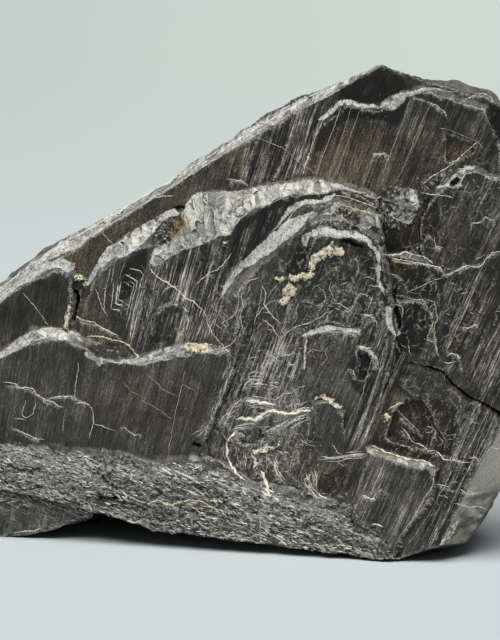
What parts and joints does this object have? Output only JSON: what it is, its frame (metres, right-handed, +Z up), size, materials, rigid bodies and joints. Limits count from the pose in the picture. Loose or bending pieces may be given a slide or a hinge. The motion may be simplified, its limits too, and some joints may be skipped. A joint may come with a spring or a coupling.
{
  "type": "tantalite crystal specimen",
  "caption": "Blocky, tabular dark crystal of grown-together striated lamellae with stepped ledges, a sheared lower edge and a broken back, standing on its base.",
  "frame": {"origin": "middle of the bounding box at the level of the surface it stands on", "axes": "+Z up; +X along the face to the viewer's right, the longest extent; +Y from the stepped face towards the broken back, the shortest extent"},
  "size_m": [0.0808, 0.038, 0.0642],
  "materials": {
    "tantalite": "dull sub-metallic, striated and fractured"
  },
  "bodies": {
    "root": {"tantalite_crystal": "tantalite"}
  },
  "joints": []
}
